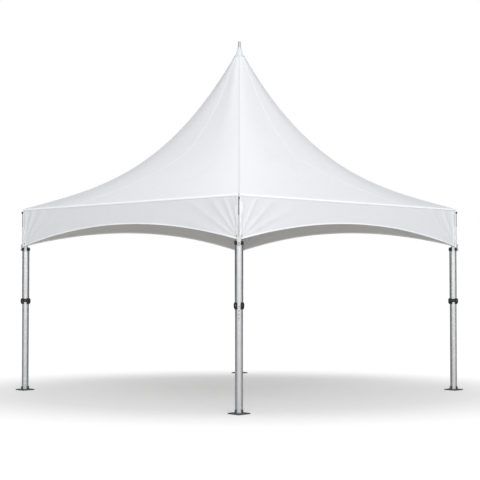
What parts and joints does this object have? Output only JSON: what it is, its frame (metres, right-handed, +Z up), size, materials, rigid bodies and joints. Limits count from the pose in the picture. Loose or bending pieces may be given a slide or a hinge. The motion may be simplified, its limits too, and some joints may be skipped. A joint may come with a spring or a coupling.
{
  "type": "high-peak frame tent",
  "caption": "Square high-peak frame tent: white fabric top with arched valances on round telescoping legs, with a centre mast on crossed cables.",
  "frame": {"origin": "on the ground, at the middle of the four legs", "axes": "+Z up through the mast; X and Y along the sides, with the front corner at +X -Y"},
  "size_m": [4.71, 4.71, 5.225],
  "materials": {
    "foot_steel": "dark, worn satin",
    "tube_aluminium": "anodised satin",
    "rod_aluminium": "mill finish",
    "black_fitting": "fine textured",
    "cable_steel": "galvanised",
    "white_vinyl": "coated, softly glossy"
  },
  "bodies": {
    "root": {"base_plate_right": "foot_steel", "base_plate_back": "foot_steel", "base_plate_left": "foot_steel", "base_plate_front": "foot_steel", "lower_leg_right": "tube_aluminium", "lower_leg_back": "tube_aluminium", "lower_leg_left": "tube_aluminium", "lower_leg_front": "tube_aluminium", "splice_collar_right": "black_fitting", "splice_collar_back": "black_fitting", "splice_collar_left": "black_fitting", "splice_collar_front": "black_fitting", "upper_leg_right": "tube_aluminium", "upper_leg_back": "tube_aluminium", "upper_leg_left": "tube_aluminium", "upper_leg_front": "tube_aluminium", "leg_head_right": "black_fitting", "leg_head_back": "black_fitting", "leg_head_left": "black_fitting", "leg_head_front": "black_fitting", "corner_frame_right": "tube_aluminium", "corner_frame_back": "tube_aluminium", "corner_frame_left": "tube_aluminium", "corner_frame_front": "tube_aluminium", "corner_rod_right": "rod_aluminium", "corner_rod_back": "rod_aluminium", "corner_rod_left": "rod_aluminium", "corner_rod_front": "rod_aluminium", "eave_rail_back_right": "tube_aluminium", "eave_rail_back_left": "tube_aluminium", "eave_rail_front_left": "tube_aluminium", "eave_rail_front_right": "tube_aluminium", "cross_cable_right": "cable_steel", "cross_cable_back": "cable_steel", "cross_cable_left": "cable_steel", "cross_cable_front": "cable_steel", "mast_foot": "tube_aluminium", "centre_mast": "tube_aluminium", "mast_cap": "rod_aluminium", "peak_boot": "white_vinyl", "canopy_top": "white_vinyl", "valance_back_right": "white_vinyl", "valance_back_left": "white_vinyl", "valance_front_left": "white_vinyl", "valance_front_right": "white_vinyl"}
  },
  "joints": []
}
